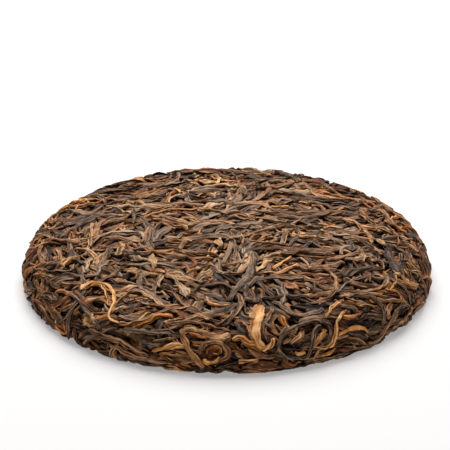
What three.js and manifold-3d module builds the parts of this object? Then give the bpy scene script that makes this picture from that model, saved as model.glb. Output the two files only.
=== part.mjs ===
// A raw pu-erh tea cake: whole twisted tea leaves, steamed and pressed into one round cake.
// It has a domed top, a wide rounded shoulder, a low upright edge and a flat base. The knot of
// the cloth that it was pressed in leaves a shallow hollow in the middle of the base.
// Millimetres, +Z up. The origin is on the base, under the middle of the cake.

import * as THREE from 'three';
import { mergeVertices } from 'three/addons/utils/BufferGeometryUtils.js';
import Module from 'manifold-3d';

// The pressed form, measured over the leaves
const cakeDiameter = 200;
const cakeHeight = 25;
const domeRise = 4.5;
const shoulderWidth = 17;
const shoulderHeight = 16;
const baseCorner = 3;
const hollowDiameter = 58;
const hollowDepth = 9;
const hollowEase = 0.6;

// The core under the leaves that show
const coreInset = 2.2;
const baseInset = 1;
const coreSides = 32;
const coreDivisions = 2;
const coreRoughness = 0.3;

// A leaf: a flattened strip whose upper face leans a little and whose lower face is in the core
const leafSides = 4;
const largeLeafRows = 6;
const fillLeafRows = 4;
const leafDepth = 1.5;
const leafRise = 1.1;
const leafBelly = 1.7;
const leafTopShare = 0.74;
const leafLean = 0.5;
const layerSpread = 0.8;
const tipPlunge = 1;
const tipSharpness = 0.4;
const leafWave = 0.2;
const leafTwist = 0.4;
const baseLeafDepth = 0.5;

// Places that face down more than this are on the base, and up more than this on the top
const flatBase = -0.8;
const flatTop = 0.9;

// The leaves between the large ones, laid on a golden-angle spiral over the whole surface
const fillLeafCount = 110;
const fillLength = [28, 48];
const fillWidth = [5, 7.5];
const fillBend = 0.5;
const shoulderSpread = 1.7;
const baseEdgeBand = 28;
const baseEdgeSpread = 0.5;
const clearOfLarge = 7;
const goldenAngle = Math.PI * (3 - Math.sqrt(5));

// Points of the section to search, the distance within which points are one, and the width under
// which slivers are closed after the leaves are joined
const sectionSamples = 320;
const weldDistance = 0.001;
const joinTolerance = 0.04;

// The large leaves that show, each from its middle: place on the cake seen from above,
// heading from +X, length, width, and how far it turns along its length, in degrees
const largeLeaves = [
  { at: [14, -92], heading: -88, length: 34, width: 6.0, turn: 30 },
  { at: [10, -46], heading: -120, length: 44, width: 6.5, turn: -40 },
  { at: [22, -36], heading: 178, length: 24, width: 4.5, turn: 15 },
  { at: [-2, 12], heading: 2, length: 32, width: 4.4, turn: 20 },
  { at: [24, -28], heading: 205, length: 24, width: 4.6, turn: -10 },
  { at: [-38, 12], heading: -70, length: 34, width: 6.5, turn: -35 },
  { at: [-62, 24], heading: -4, length: 36, width: 4.8, turn: 8 },
  { at: [-58, -20], heading: 65, length: 26, width: 5.0, turn: 10 },
  { at: [-66, 2], heading: -88, length: 22, width: 5.4, turn: 0 },
  { at: [-22, -20], heading: -2, length: 24, width: 4.4, turn: 0 },
  { at: [-34, -72], heading: 12, length: 42, width: 4.6, turn: 25 },
  { at: [-62, -66], heading: -62, length: 30, width: 5.0, turn: 60 },
  { at: [-44, -58], heading: 30, length: 36, width: 4.4, turn: -60 },
  { at: [-34, -36], heading: -50, length: 30, width: 4.8, turn: 40 },
  { at: [27, -66], heading: 2, length: 28, width: 4.8, turn: -6 },
  { at: [66, -48], heading: 40, length: 40, width: 4.6, turn: -60 },
  { at: [66, -70], heading: 5, length: 34, width: 4.6, turn: -70 },
  { at: [50, 44], heading: -8, length: 30, width: 5.0, turn: 10 },
  { at: [20, 30], heading: -6, length: 32, width: 4.6, turn: -12 },
  { at: [40, 2], heading: -12, length: 24, width: 4.4, turn: 20 },
  { at: [68, 8], heading: -48, length: 30, width: 4.6, turn: 10 },
  { at: [32, 8], heading: -122, length: 18, width: 4.4, turn: 15 },
  { at: [80, -32], heading: 10, length: 16, width: 7.0, turn: 0 },
  { at: [-72, -18], heading: -55, length: 18, width: 7.0, turn: 0 },
];

// The leaf on the base whose pressed flat side is the face to rest on
const restingLeaf = { at: [62, 0], heading: 90, length: 44, width: 9, turn: 10 };

const wasm = await Module();
wasm.setup();

function seededRandom(seed) {
  let state = seed;
  return () => {
    state = (state + 0x6d2b79f5) | 0;
    let mixed = Math.imul(state ^ (state >>> 15), 1 | state);
    mixed = (mixed + Math.imul(mixed ^ (mixed >>> 7), 61 | mixed)) ^ mixed;
    return ((mixed ^ (mixed >>> 14)) >>> 0) / 4294967296;
  };
}

const random = seededRandom(357);

function between([low, high]) {
  return low + (high - low) * random();
}

// Half of the cake's section, from the top of the hollow out along the base and over to the top,
// drawn in by one inset at the top and round the edge, and by another on the base
function cakeSection(inset, insetBelow) {
  const radius = cakeDiameter / 2 - inset;
  const hollowRadius = hollowDiameter / 2;
  const hollowTop = hollowDepth + insetBelow;
  const topRadius = cakeDiameter / 2 - shoulderWidth;
  const shoulderBase = cakeHeight - domeRise - shoulderHeight;
  const corner = baseCorner - insetBelow;
  const section = new THREE.Path();
  section.moveTo(0, hollowTop);
  section.bezierCurveTo(
    hollowRadius * hollowEase, hollowTop, hollowRadius * hollowEase, insetBelow, hollowRadius, insetBelow);
  section.lineTo(radius - corner, insetBelow);
  section.absarc(radius - corner, baseCorner, corner, -Math.PI / 2, 0, false);
  section.absellipse(
    topRadius, shoulderBase, shoulderWidth - inset, shoulderHeight - inset, 0, Math.PI / 2, false);
  section.quadraticCurveTo(topRadius / 2, cakeHeight - inset, 0, cakeHeight - inset);
  return section;
}

// Points of the section with the directions that face out of the cake there
function sectionPoints(count) {
  const points = cakeSection(0, 0).getSpacedPoints(count);
  return points.map((point, i) => {
    const before = points[Math.max(i - 1, 0)];
    const after = points[Math.min(i + 1, count)];
    const along = new THREE.Vector2().subVectors(after, before).normalize();
    const out = new THREE.Vector2(along.y, -along.x);
    if (i === 0) out.set(0, -1);
    if (i === count) out.set(0, 1);
    return { point, out };
  });
}

const fineSection = sectionPoints(sectionSamples);

// The place on the cake's surface that is nearest to a point, and the direction out of it
function surfaceAt(position) {
  const radius = Math.hypot(position.x, position.y);
  let nearest = fineSection[0];
  let least = Infinity;
  for (const sample of fineSection) {
    const distance = Math.hypot(sample.point.x - radius, sample.point.y - position.z);
    if (distance < least) {
      least = distance;
      nearest = sample;
    }
  }
  const angle = Math.atan2(position.y, position.x);
  const place = new THREE.Vector3(
    nearest.point.x * Math.cos(angle), nearest.point.x * Math.sin(angle), nearest.point.y);
  const out = new THREE.Vector3(
    nearest.out.x * Math.cos(angle), nearest.out.x * Math.sin(angle), nearest.out.y);
  return { place, out };
}

// Walks over the surface from a middle point, both ways, and gives a frame for each row
function leafPath(middle, direction, length, turn, rows) {
  const step = length / rows;
  const walk = (sign) => {
    const frames = [];
    let { place, out } = surfaceAt(middle);
    const heading = direction.clone().multiplyScalar(sign).projectOnPlane(out).normalize();
    for (let row = 0; row < rows / 2; row += 1) {
      ({ place, out } = surfaceAt(place.clone().addScaledVector(heading, step)));
      heading.projectOnPlane(out).normalize();
      heading.applyAxisAngle(out, (sign * turn) / rows);
      frames.push({ place, out, along: heading.clone().multiplyScalar(sign) });
    }
    return frames;
  };
  const start = surfaceAt(middle);
  const along = direction.clone().projectOnPlane(start.out).normalize();
  return [...walk(-1).reverse(), { place: start.place, out: start.out, along }, ...walk(1)];
}

// A leaf is a ball of four sides whose rows are moved along its path. Its corners are those of
// a flat strip, so that its upper and lower faces split alike.
function leafGeometry(path, width, depth) {
  const twistStart = (random() - 0.5) * leafTwist;
  const twistTurn = (random() - 0.5) * leafTwist;
  const wavePhase = random() * Math.PI * 2;
  const lean = (random() - 0.5) * 2 * leafLean;
  const rows = path.length - 1;
  const ball = new THREE.SphereGeometry(1, leafSides, rows);
  const position = ball.attributes.position;
  for (let i = 0; i < position.count; i += 1) {
    const row = Math.floor(i / (leafSides + 1));
    const side = (i % (leafSides + 1)) % leafSides;
    const share = row / rows;
    const { place, out, along } = path[row];
    const taper = (4 * share * (1 - share)) ** tipSharpness;
    const twist = twistStart + twistTurn * share;
    const upward = out.clone().applyAxisAngle(along, twist);
    const across = new THREE.Vector3().crossVectors(upward, along);
    const corner = [
      [-width / 2, -leafBelly],
      [-width / 2 * leafTopShare, leafRise + lean],
      [width / 2 * leafTopShare, leafRise - lean],
      [width / 2, -leafBelly],
    ][side];
    const wave = leafWave * Math.sin(wavePhase + share * 2 * Math.PI);
    const sink = depth + wave + tipPlunge * (1 - taper);
    const vertex = place.clone().addScaledVector(out, -sink);
    vertex.addScaledVector(across, corner[0] * taper);
    vertex.addScaledVector(upward, corner[1] * taper);
    position.setXYZ(i, vertex.x, vertex.y, vertex.z);
  }
  return ball;
}

function largeLeafGeometry({ at, heading, length, width, turn }, height, depth) {
  const middle = new THREE.Vector3(at[0], at[1], height);
  const angle = THREE.MathUtils.degToRad(heading);
  const direction = new THREE.Vector3(Math.cos(angle), Math.sin(angle), 0);
  const path = leafPath(middle, direction, length, THREE.MathUtils.degToRad(turn), largeLeafRows);
  return leafGeometry(path, width, depth);
}

// Places that share the surface out evenly: equal areas along the section, turned by the
// golden angle from one to the next
function evenPlaces(count) {
  const areas = [0];
  for (let i = 1; i < fineSection.length; i += 1) {
    const here = fineSection[i].point;
    const before = fineSection[i - 1].point;
    areas.push(areas[i - 1] + (here.x + before.x) * here.distanceTo(before));
  }
  const whole = areas[areas.length - 1];
  const places = [];
  for (let i = 0; i < count; i += 1) {
    const share = ((i + 0.5) / count) * whole;
    const sample = fineSection[areas.findIndex((area) => area >= share)];
    const angle = i * goldenAngle;
    places.push(new THREE.Vector3(
      sample.point.x * Math.cos(angle), sample.point.x * Math.sin(angle), sample.point.y));
  }
  return places;
}

function isClearOfLarge(place) {
  const onTop = place.z > cakeHeight / 2;
  const distanceTo = ({ at }) => Math.hypot(place.x - at[0], place.y - at[1]);
  return !onTop || largeLeaves.every((leaf) => distanceTo(leaf) > clearOfLarge);
}

// How far the leaves turn from following the edge: every way on the top and the base, less on
// the shoulder, and hardly at all low on the edge and next to it on the base
function headingSpread(place, out) {
  if (out.z > flatTop) return Math.PI;
  if (place.z > cakeHeight / 3) return shoulderSpread;
  const isNextToEdge = Math.hypot(place.x, place.y) > cakeDiameter / 2 - baseEdgeBand;
  return isNextToEdge ? baseEdgeSpread : Math.PI;
}

function fillLeafGeometry(place) {
  const { out } = surfaceAt(place);
  const round = new THREE.Vector3(-place.y, place.x, 0).normalize();
  const inward = new THREE.Vector3().crossVectors(out, round);
  const angle = (random() - 0.5) * headingSpread(place, out);
  const direction = round.clone().multiplyScalar(Math.cos(angle)).addScaledVector(inward, Math.sin(angle));
  const turn = (random() - 0.5) * 2 * fillBend;
  const path = leafPath(place, direction, between(fillLength), turn, fillLeafRows);
  const depth = out.z < flatBase ? baseLeafDepth : leafDepth + (random() - 0.5) * layerSpread;
  return leafGeometry(path, between(fillWidth), depth);
}

// The core is the section drawn in, turned round, with its points moved in and out a little
function coreGeometry() {
  const profile = cakeSection(coreInset, baseInset).getPoints(coreDivisions);
  profile[0].x = 0;
  profile[profile.length - 1].x = 0;
  const lathe = new THREE.LatheGeometry(profile, coreSides);
  lathe.rotateX(Math.PI / 2);
  const core = withoutSeams(lathe);
  const position = core.attributes.position;
  for (let i = 0; i < position.count; i += 1) {
    const vertex = new THREE.Vector3().fromBufferAttribute(position, i);
    vertex.addScaledVector(surfaceAt(vertex).out, (random() - 0.5) * coreRoughness);
    position.setXYZ(i, vertex.x, vertex.y, vertex.z);
  }
  return core;
}

function withoutSeams(geometry) {
  geometry.deleteAttribute('normal');
  geometry.deleteAttribute('uv');
  return mergeVertices(geometry, weldDistance);
}

function toSolid(geometry) {
  const merged = withoutSeams(geometry);
  const index = merged.index.array;
  const whole = [];
  for (let i = 0; i < index.length; i += 3) {
    const [a, b, c] = [index[i], index[i + 1], index[i + 2]];
    if (a !== b && b !== c && c !== a) whole.push(a, b, c);
  }
  return new wasm.Manifold(new wasm.Mesh({
    numProp: 3,
    vertProperties: new Float32Array(merged.attributes.position.array),
    triVerts: new Uint32Array(whole),
  }));
}

// Everything under the base plane is pressed flat, as on the board that the cake is pressed on
function floorSolid() {
  const side = cakeDiameter * 2;
  const floor = new THREE.BoxGeometry(side, side, cakeHeight);
  floor.translate(0, 0, -cakeHeight / 2);
  return toSolid(floor);
}

// The outer skin alone: pockets that the leaves close are filled, and loose scraps are dropped
function outerSkin(solid) {
  const bodies = solid.decompose().sort((a, b) => b.volume() - a.volume());
  const { vertProperties, triVerts } = bodies[0].getMesh();
  const skin = new THREE.BufferGeometry();
  skin.setAttribute('position', new THREE.BufferAttribute(new Float32Array(vertProperties), 3));
  skin.setIndex([...triVerts]);
  return skin;
}

// Centres the cake over the origin and brings it to its full width both ways
function fitToDiameter(geometry) {
  geometry.computeBoundingBox();
  const middle = geometry.boundingBox.getCenter(new THREE.Vector3());
  const size = geometry.boundingBox.getSize(new THREE.Vector3());
  geometry.translate(-middle.x, -middle.y, 0);
  geometry.scale(cakeDiameter / size.x, cakeDiameter / size.y, 1);
  return geometry;
}

function teaCakeGeometry() {
  const leaves = [
    ...largeLeaves.map((leaf) => largeLeafGeometry(leaf, cakeHeight, leafDepth - layerSpread / 2)),
    largeLeafGeometry(restingLeaf, 0, baseLeafDepth),
    ...evenPlaces(fillLeafCount).filter(isClearOfLarge).map(fillLeafGeometry),
  ];
  let solid = toSolid(coreGeometry());
  for (const leaf of leaves) solid = solid.add(toSolid(leaf));
  solid = solid.simplify(joinTolerance).subtract(floorSolid());
  const skin = fitToDiameter(outerSkin(solid)).toNonIndexed();
  skin.computeVertexNormals();
  return skin;
}

const pressedLeaf = new THREE.MeshStandardMaterial({
  color: 0x54402c,
  roughness: 0.62,
  metalness: 0,
  flatShading: true,
});

const teaCake = new THREE.Mesh(teaCakeGeometry(), pressedLeaf);
teaCake.name = 'tea_cake';

const model = new THREE.Group();
model.add(teaCake);

export default model;
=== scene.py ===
"""A raw pu-erh tea cake: twisted leaves, folded leaves, buds, stems and scraps pressed over a core.

Every length below is in millimetres until a mesh is made; Blender's own units are metres.
"""

import math
from collections import namedtuple

import bpy
import numpy as np
from mathutils import Matrix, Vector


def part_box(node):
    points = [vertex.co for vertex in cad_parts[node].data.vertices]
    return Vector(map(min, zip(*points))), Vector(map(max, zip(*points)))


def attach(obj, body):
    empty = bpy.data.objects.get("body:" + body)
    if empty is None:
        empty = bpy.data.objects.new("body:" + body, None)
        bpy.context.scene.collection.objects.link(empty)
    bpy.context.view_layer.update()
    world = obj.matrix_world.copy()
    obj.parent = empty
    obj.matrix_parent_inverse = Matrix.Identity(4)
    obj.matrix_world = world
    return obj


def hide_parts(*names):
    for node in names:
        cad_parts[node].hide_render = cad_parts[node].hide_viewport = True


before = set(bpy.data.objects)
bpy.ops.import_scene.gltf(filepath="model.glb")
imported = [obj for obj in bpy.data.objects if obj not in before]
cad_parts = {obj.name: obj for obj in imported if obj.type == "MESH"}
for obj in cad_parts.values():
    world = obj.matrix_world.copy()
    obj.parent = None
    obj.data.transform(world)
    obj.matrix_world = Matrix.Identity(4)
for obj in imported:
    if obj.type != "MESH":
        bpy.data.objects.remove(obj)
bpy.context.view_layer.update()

MM = 0.001
NODE = "tea_cake"
BODY = "root"
node_low, node_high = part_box(NODE)

# The pressed form over the leaves: the CAD part's, with a slightly sharper corner at its base
CAKE_RADIUS = (node_high[0] - node_low[0]) / 2 / MM
CAKE_HEIGHT = round((node_high[2] - node_low[2]) / MM)
DOME_RISE = 0.18 * CAKE_HEIGHT
SHOULDER_WIDTH = 0.17 * CAKE_RADIUS
SHOULDER_HEIGHT = 0.64 * CAKE_HEIGHT
BASE_CORNER_WIDTH = 0.08 * CAKE_HEIGHT
BASE_CORNER_HEIGHT = 0.1 * CAKE_HEIGHT
HOLLOW_RADIUS = 0.29 * CAKE_RADIUS
HOLLOW_DEPTH = 0.36 * CAKE_HEIGHT
HOLLOW_EASE = 0.6

# The photograph's camera, fitted to the cake's outline: the image is 450 x 450
IMAGE_SIZE = 450
ELEVATION = math.radians(25.8)
CAMERA_DISTANCE = 900
PIXELS_PER_MM = 2.045
CAKE_MIDDLE_PIXEL = (226.8, 252.3)
SENSOR_WIDTH = 36

# The press: how deep the core lies, where the heap's top comes, over what reach the heap is evened
# out, how far leaves may stand out on the top and low on the edge, and how crumpled they are
CORE_DEPTH = 4.2
PRESSED_TOP = -0.9
PRESS_EVENNESS = 0.85
EVENNESS_REACH = 7
PRESS_LIMIT = 0.4
LOW_PRESS_LIMIT = -0.2
PRESS_GIVE = 0.35
CRUMPLE = 0.2
CRUMPLE_WAVE = 5

# The ways the leaves lie: in a slowly turning field along the flats, and round the cake at its edge
BASE_SHARE = 0.75
LOW_EDGE = 0.4 * CAKE_HEIGHT
LOW_EDGE_TURN = 0.35
STRAY_SHARE = 0.2
FLAT_LEAN = 0.85
WAY_WAVE = 75
WAY_SPREAD = 0.32

# The bundles: how many leaves, how far apart, how far they slip along each other and fan out, how
# much later the long ones are laid, and how many places are tried for each
BUNDLE_SIZES = (1, 1, 1, 2, 2, 3)
BUNDLE_GAP = 1.05
BUNDLE_SLIP = 5
BUNDLE_FAN = 0.12
LONG_LATE = 0.4
CANDIDATES = 5

# How a leaf rests on the heap: the cells of the heap's height, where that is felt across a leaf's
# half width, how far a leaf leans and sinks, and how smoothly it lies
CELL = 0.8
RELIEF_MARGIN = 6
PROBES = (-0.8, -0.35, 0, 0.35, 0.8)
LEAN_LIMIT = 0.6
LEAN_SHARE = 0.7
SCATTERED_SINK = 0.15
SCATTERED_EASE = 6
MARKED_SINK = 0.3
MARKED_EASE = 30
SWELL = 0.24
TWIST = 0.6
BURIED_DEPTH = 1.6
DEEPEST = 3
FIBRE_RANGE = 400
NOISE_TERMS = 7

# The ridges of a rolled leaf: how many there are, how much they differ and wander along it, how far
# they may reach, how far they turn round it in radians, and the thickness that they are scaled by
ROLL_LOBES = (3, 6)
RIDGE_SPREAD = 0.45
RIDGE_LIMIT = 1.4
ROLL_TURN = 2.6
RIDGE_THICK = 0.8

# The sheet of a folded leaf: how far it curls and tips over, how many creases cross it and how deep
# they are, and how wavy and how ragged its edges are
FOLD_CURL = 0.9
FOLD_TIP = 0.5
FOLD_CREASES = (4, 8)
CREASE_DEPTH = 0.22
EDGE_WAVE = 0.16
EDGE_RAGGED = 0.07

# The core's mesh: steps round it and along its section, and the height and wave length of its bumps
CORE_AROUND = 160
CORE_SPACING = 4
CORE_BUMPS = ((0.5, 9), (0.35, 4))
CORE_TERMS = 9

# What is added to a leaf's tone and warmth in the middle of the top, and at the edge and base: paler and
# cooler on the top's middle, darker and warmer at the edge and base, partly the leaves' own colour and
# partly painted light and shade
MIDDLE_TONE = 0.52
EDGE_TONE = -0.42
MIDDLE_WARMTH = -0.15
EDGE_WARMTH = 0.25

SEED = 357

rng = np.random.default_rng(SEED)


def bezier(start, pull_start, pull_end, end, count):
    """Points of a cubic curve."""
    t = np.linspace(0, 1, count)[:, None]
    corners = [np.array(p, float) for p in (start, pull_start, pull_end, end)]
    weights = ((1 - t) ** 3, 3 * t * (1 - t) ** 2, 3 * t**2 * (1 - t), t**3)
    return sum(w * c for w, c in zip(weights, corners))


def arc(middle, width, height, first, last, count):
    """Points of an ellipse's arc, from one angle to another."""
    a = np.radians(np.linspace(first, last, count))
    return np.stack([middle[0] + width * np.cos(a), middle[1] + height * np.sin(a)], 1)


def even_points(points, spacing):
    """The same line with points at an even spacing."""
    steps = np.hypot(*np.diff(points, axis=0).T)
    run = np.concatenate([[0], np.cumsum(steps)])
    places = np.linspace(0, run[-1], int(run[-1] / spacing) + 1)
    return np.stack([np.interp(places, run, points[:, 0]), np.interp(places, run, points[:, 1])], 1)


def section_line(spacing):
    """Half of the cake's section: out of the hollow, over the base, up the edge and over the top."""
    ease = HOLLOW_RADIUS * HOLLOW_EASE
    top_radius = CAKE_RADIUS - SHOULDER_WIDTH
    shoulder_base = CAKE_HEIGHT - DOME_RISE - SHOULDER_HEIGHT
    hollow = bezier((0, HOLLOW_DEPTH), (ease, HOLLOW_DEPTH), (ease, 0), (HOLLOW_RADIUS, 0), 80)
    corner_middle = (CAKE_RADIUS - BASE_CORNER_WIDTH, BASE_CORNER_HEIGHT)
    corner = arc(corner_middle, BASE_CORNER_WIDTH, BASE_CORNER_HEIGHT, -90, 0, 20)
    shoulder = arc((top_radius, shoulder_base), SHOULDER_WIDTH, SHOULDER_HEIGHT, 0, 90, 60)
    radius = np.linspace(top_radius, 0, 80)
    dome = np.stack([radius, CAKE_HEIGHT - DOME_RISE * (radius / top_radius) ** 2], 1)
    return even_points(np.concatenate([hollow, corner, shoulder, dome[1:]]), spacing)


SECTION_STEP = 0.5
SECTION = section_line(SECTION_STEP)
SECTION_ALONG = np.gradient(SECTION, axis=0)
SECTION_ALONG /= np.linalg.norm(SECTION_ALONG, axis=1, keepdims=True)
SECTION_ALONG[[0, -1]] = ((1, 0), (-1, 0))
SECTION_OUT = np.stack([SECTION_ALONG[:, 1], -SECTION_ALONG[:, 0]], 1)
SECTION_TURN = np.gradient(SECTION_OUT, axis=0) / SECTION_STEP

# A table of the section's nearest sample for each small square of the half plane round it
TABLE_STEP = 0.5
TABLE_MARGIN = 12
TABLE_LOW = np.array([0.0, -TABLE_MARGIN])
TABLE_SHAPE = (
    int((CAKE_RADIUS + TABLE_MARGIN) / TABLE_STEP) + 1,
    int((CAKE_HEIGHT + 2 * TABLE_MARGIN) / TABLE_STEP) + 1,
)


def nearest_table():
    """The index of the section's nearest sample for each square of the table."""
    table = np.empty(TABLE_SHAPE, int)
    heights = TABLE_LOW[1] + (np.arange(TABLE_SHAPE[1]) + 0.5) * TABLE_STEP
    for column in range(TABLE_SHAPE[0]):
        radius = (column + 0.5) * TABLE_STEP
        gap = (SECTION[:, 0] - radius) ** 2 + (SECTION[:, 1] - heights[:, None]) ** 2
        table[column] = gap.argmin(1)
    return table


NEAREST = nearest_table()


def snap(points):
    """The nearest places on the cake's form, and the directions out of it there."""
    radius = np.hypot(points[..., 0], points[..., 1])
    height = points[..., 2]
    column = np.clip((radius / TABLE_STEP).astype(int), 0, TABLE_SHAPE[0] - 1)
    row = np.clip(((height - TABLE_LOW[1]) / TABLE_STEP).astype(int), 0, TABLE_SHAPE[1] - 1)
    i = NEAREST[column, row]
    offset = (radius - SECTION[i, 0]) * SECTION_ALONG[i, 0]
    offset = np.clip(offset + (height - SECTION[i, 1]) * SECTION_ALONG[i, 1], -1, 1)
    flat = SECTION[i] + offset[..., None] * SECTION_ALONG[i]
    out = SECTION_OUT[i] + offset[..., None] * SECTION_TURN[i]
    out /= np.linalg.norm(out, axis=-1, keepdims=True)
    safe = np.maximum(radius, 1e-6)
    cosine = np.where(radius > 1e-6, points[..., 0] / safe, 1)
    sine = np.where(radius > 1e-6, points[..., 1] / safe, 0)
    place = np.stack([flat[..., 0] * cosine, flat[..., 0] * sine, flat[..., 1]], -1)
    normal = np.stack([out[..., 0] * cosine, out[..., 0] * sine, out[..., 1]], -1)
    return place, normal


def unit(vectors):
    """The vectors at length one."""
    return vectors / np.maximum(np.linalg.norm(vectors, axis=-1, keepdims=True), 1e-9)


def lay_flat(vectors, normal):
    """The vectors' directions along the form."""
    return unit(vectors - (vectors * normal).sum(-1, keepdims=True) * normal)


def walk(start, heading, step, bends):
    """Walks over the form from the start places and gives each step's place."""
    place, normal = snap(start)
    heading = lay_flat(heading, normal)
    places = []
    for k in range(bends.shape[-1]):
        place, normal = snap(place + heading * step[..., None])
        heading = lay_flat(heading, normal)
        turn = bends[..., k, None]
        heading = np.cos(turn) * heading + np.sin(turn) * np.cross(normal, heading)
        places.append(place)
    return np.stack(places, -2)


def leaf_paths(middle, heading, length, bends):
    """Paths over the form, laid both ways from their middles."""
    count = bends.shape[-1]
    step = length / (count - 1)
    half = count // 2
    ahead = walk(middle, heading, step, bends[..., half:])
    back = walk(middle, -heading, step, -bends[..., half - 1 : 0 : -1])
    start = snap(middle)[0][..., None, :]
    return np.concatenate([back[..., ::-1, :], start, ahead], -2)


def camera_axes():
    """The camera's place, and its right, up and forward directions."""
    focal = PIXELS_PER_MM * CAMERA_DISTANCE
    middle = np.array([0, 0, CAKE_HEIGHT / 2])
    forward = np.array([0, math.cos(ELEVATION), -math.sin(ELEVATION)])
    up = np.array([0, math.sin(ELEVATION), math.cos(ELEVATION)])
    right = np.array([1.0, 0, 0])
    place = middle - CAMERA_DISTANCE * forward
    pitch = math.atan((CAKE_MIDDLE_PIXEL[1] - IMAGE_SIZE / 2) / focal)
    forward, up = (
        math.cos(pitch) * forward + math.sin(pitch) * up,
        math.cos(pitch) * up - math.sin(pitch) * forward,
    )
    yaw = math.atan((CAKE_MIDDLE_PIXEL[0] - IMAGE_SIZE / 2) / focal)
    forward, right = (
        math.cos(yaw) * forward - math.sin(yaw) * right,
        math.cos(yaw) * right + math.sin(yaw) * forward,
    )
    return place, right, up, forward, focal


def places_under_pixels(pixels):
    """The places on the cake's form that the camera sees at some pixels."""
    place, right, up, forward, focal = camera_axes()
    across = (np.array(pixels, float)[:, :1] - IMAGE_SIZE / 2) / focal
    down = (np.array(pixels, float)[:, 1:] - IMAGE_SIZE / 2) / focal
    rays = unit(forward + across * right - down * up)
    reach = CAKE_RADIUS * 1.2
    distances = np.arange(CAMERA_DISTANCE - reach, CAMERA_DISTANCE + reach, 0.25)
    points = place + rays[:, None] * distances[:, None]
    nearest, normal = snap(points)
    height = ((points - nearest) * normal).sum(-1)
    inside = height < 0
    first = np.where(inside.any(1), inside.argmax(1), np.abs(height).argmin(1))
    return nearest[np.arange(len(pixels)), first]


def smooth_line(points, count):
    """A smooth line through a few points, as places at an even spacing on the form."""
    ends = np.concatenate([[2 * points[0] - points[1]], points, [2 * points[-1] - points[-2]]])
    t = np.linspace(0, 1, 12, endpoint=False)[:, None]
    spans = []
    for a, b, c, d in zip(ends, ends[1:], ends[2:], ends[3:]):
        bend = (2 * a - 5 * b + 4 * c - d) * t**2 + (3 * b - a - 3 * c + d) * t**3
        spans.append(0.5 * (2 * b + (c - a) * t + bend))
    line = np.concatenate([*spans, points[-1:]])
    run = np.concatenate([[0], np.cumsum(np.linalg.norm(np.diff(line, axis=0), axis=1))])
    places = np.linspace(0, run[-1], count)
    even = np.stack([np.interp(places, run, line[:, k]) for k in range(3)], 1)
    return snap(even)[0], run[-1]


# Kinds of leaf: how many are scattered, their length, width and thickness, the form of their
# section, how late they are laid, and the material slot
Kind = namedtuple("Kind", "count length width thick form late slot")
KINDS = {
    "dark_strips": Kind(600, (12, 40), (1.7, 3.5), (1.0, 1.7), "rolled", 0.0, "dark_leaf"),
    "grey_strips": Kind(480, (12, 40), (1.7, 3.6), (0.9, 1.6), "rolled", 0.1, "dark_leaf"),
    "brown_strips": Kind(560, (11, 38), (1.5, 3.4), (0.9, 1.6), "rolled", 0.05, "brown_leaf"),
    "russet_strips": Kind(210, (11, 32), (1.4, 2.9), (0.8, 1.4), "rolled", 0.15, "brown_leaf"),
    "tan_strips": Kind(370, (9, 30), (1.3, 2.7), (0.8, 1.3), "rolled", 0.2, "tan_leaf"),
    "golden_buds": Kind(150, (8, 24), (1.3, 2.4), (0.9, 1.4), "bud", 0.35, "golden_bud"),
    "dark_folds": Kind(220, (10, 28), (3.0, 5.2), (0.45, 0.6), "fold", 0.2, "dark_leaf"),
    "tan_folds": Kind(120, (9, 24), (2.4, 4.4), (0.4, 0.55), "fold", 0.3, "tan_leaf"),
    "stems": Kind(90, (20, 50), (0.9, 1.5), (0.8, 1.4), "stem", 0.25, "stem"),
    "long_dark_leaves": Kind(14, (36, 70), (1.6, 3.0), (1.1, 1.6), "long", 0.9, "dark_leaf"),
    "long_brown_leaves": Kind(14, (36, 70), (1.6, 3.0), (1.1, 1.6), "long", 0.9, "brown_leaf"),
    "long_tan_leaves": Kind(14, (32, 64), (1.3, 2.4), (1.0, 1.5), "long", 0.95, "tan_leaf"),
    "long_golden_leaves": Kind(12, (26, 56), (1.3, 2.6), (1.0, 1.5), "long", 1.0, "golden_bud"),
    "dark_chips": Kind(240, (3, 8), (1.8, 3.8), (0.4, 0.6), "chip", 0.1, "dark_leaf"),
    "tan_chips": Kind(260, (2.5, 7), (1.5, 3.2), (0.4, 0.6), "chip", 0.15, "tan_leaf"),
    "dark_scraps": Kind(620, (6, 14), (1.1, 2.4), (0.6, 1.0), "scrap", -0.3, "dark_leaf"),
    "tan_scraps": Kind(520, (4, 12), (0.8, 1.9), (0.5, 0.9), "scrap", 0.45, "tan_leaf"),
}

# For each form: sides round the section, rows along the leaf, places on its path, how much it
# bends, how deep its ridges are as a share of its half thickness, how uneven its width is, and its
# bluntest and slimmest ends
Form = namedtuple("Form", "around rows path bend ridge uneven tips")
FORMS = {
    "rolled": Form(10, 14, 20, 0.1, 0.7, 0.16, (0.15, 0.5)),
    "fold": Form(16, 14, 20, 0.07, 0, 0.13, (0.15, 0.5)),
    "bud": Form(10, 14, 20, 0.09, 0.4, 0.09, (0.3, 0.6)),
    "stem": Form(8, 18, 30, 0.13, 0.3, 0.05, (0.12, 0.2)),
    "long": Form(12, 34, 40, 0.1, 0.42, 0.05, (0.14, 0.4)),
    "chip": Form(12, 6, 12, 0.04, 0, 0.1, (0.1, 0.5)),
    "scrap": Form(8, 8, 14, 0.08, 0.6, 0.1, (0.15, 0.5)),
}
CREASED_FORMS = ("rolled", "long", "scrap")
MARKED_TIPS = 0.2
MARKED_WARMTH = {"dark_leaf": 0.35, "brown_leaf": 0.6, "tan_leaf": 0.7, "golden_bud": 0.7}

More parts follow.
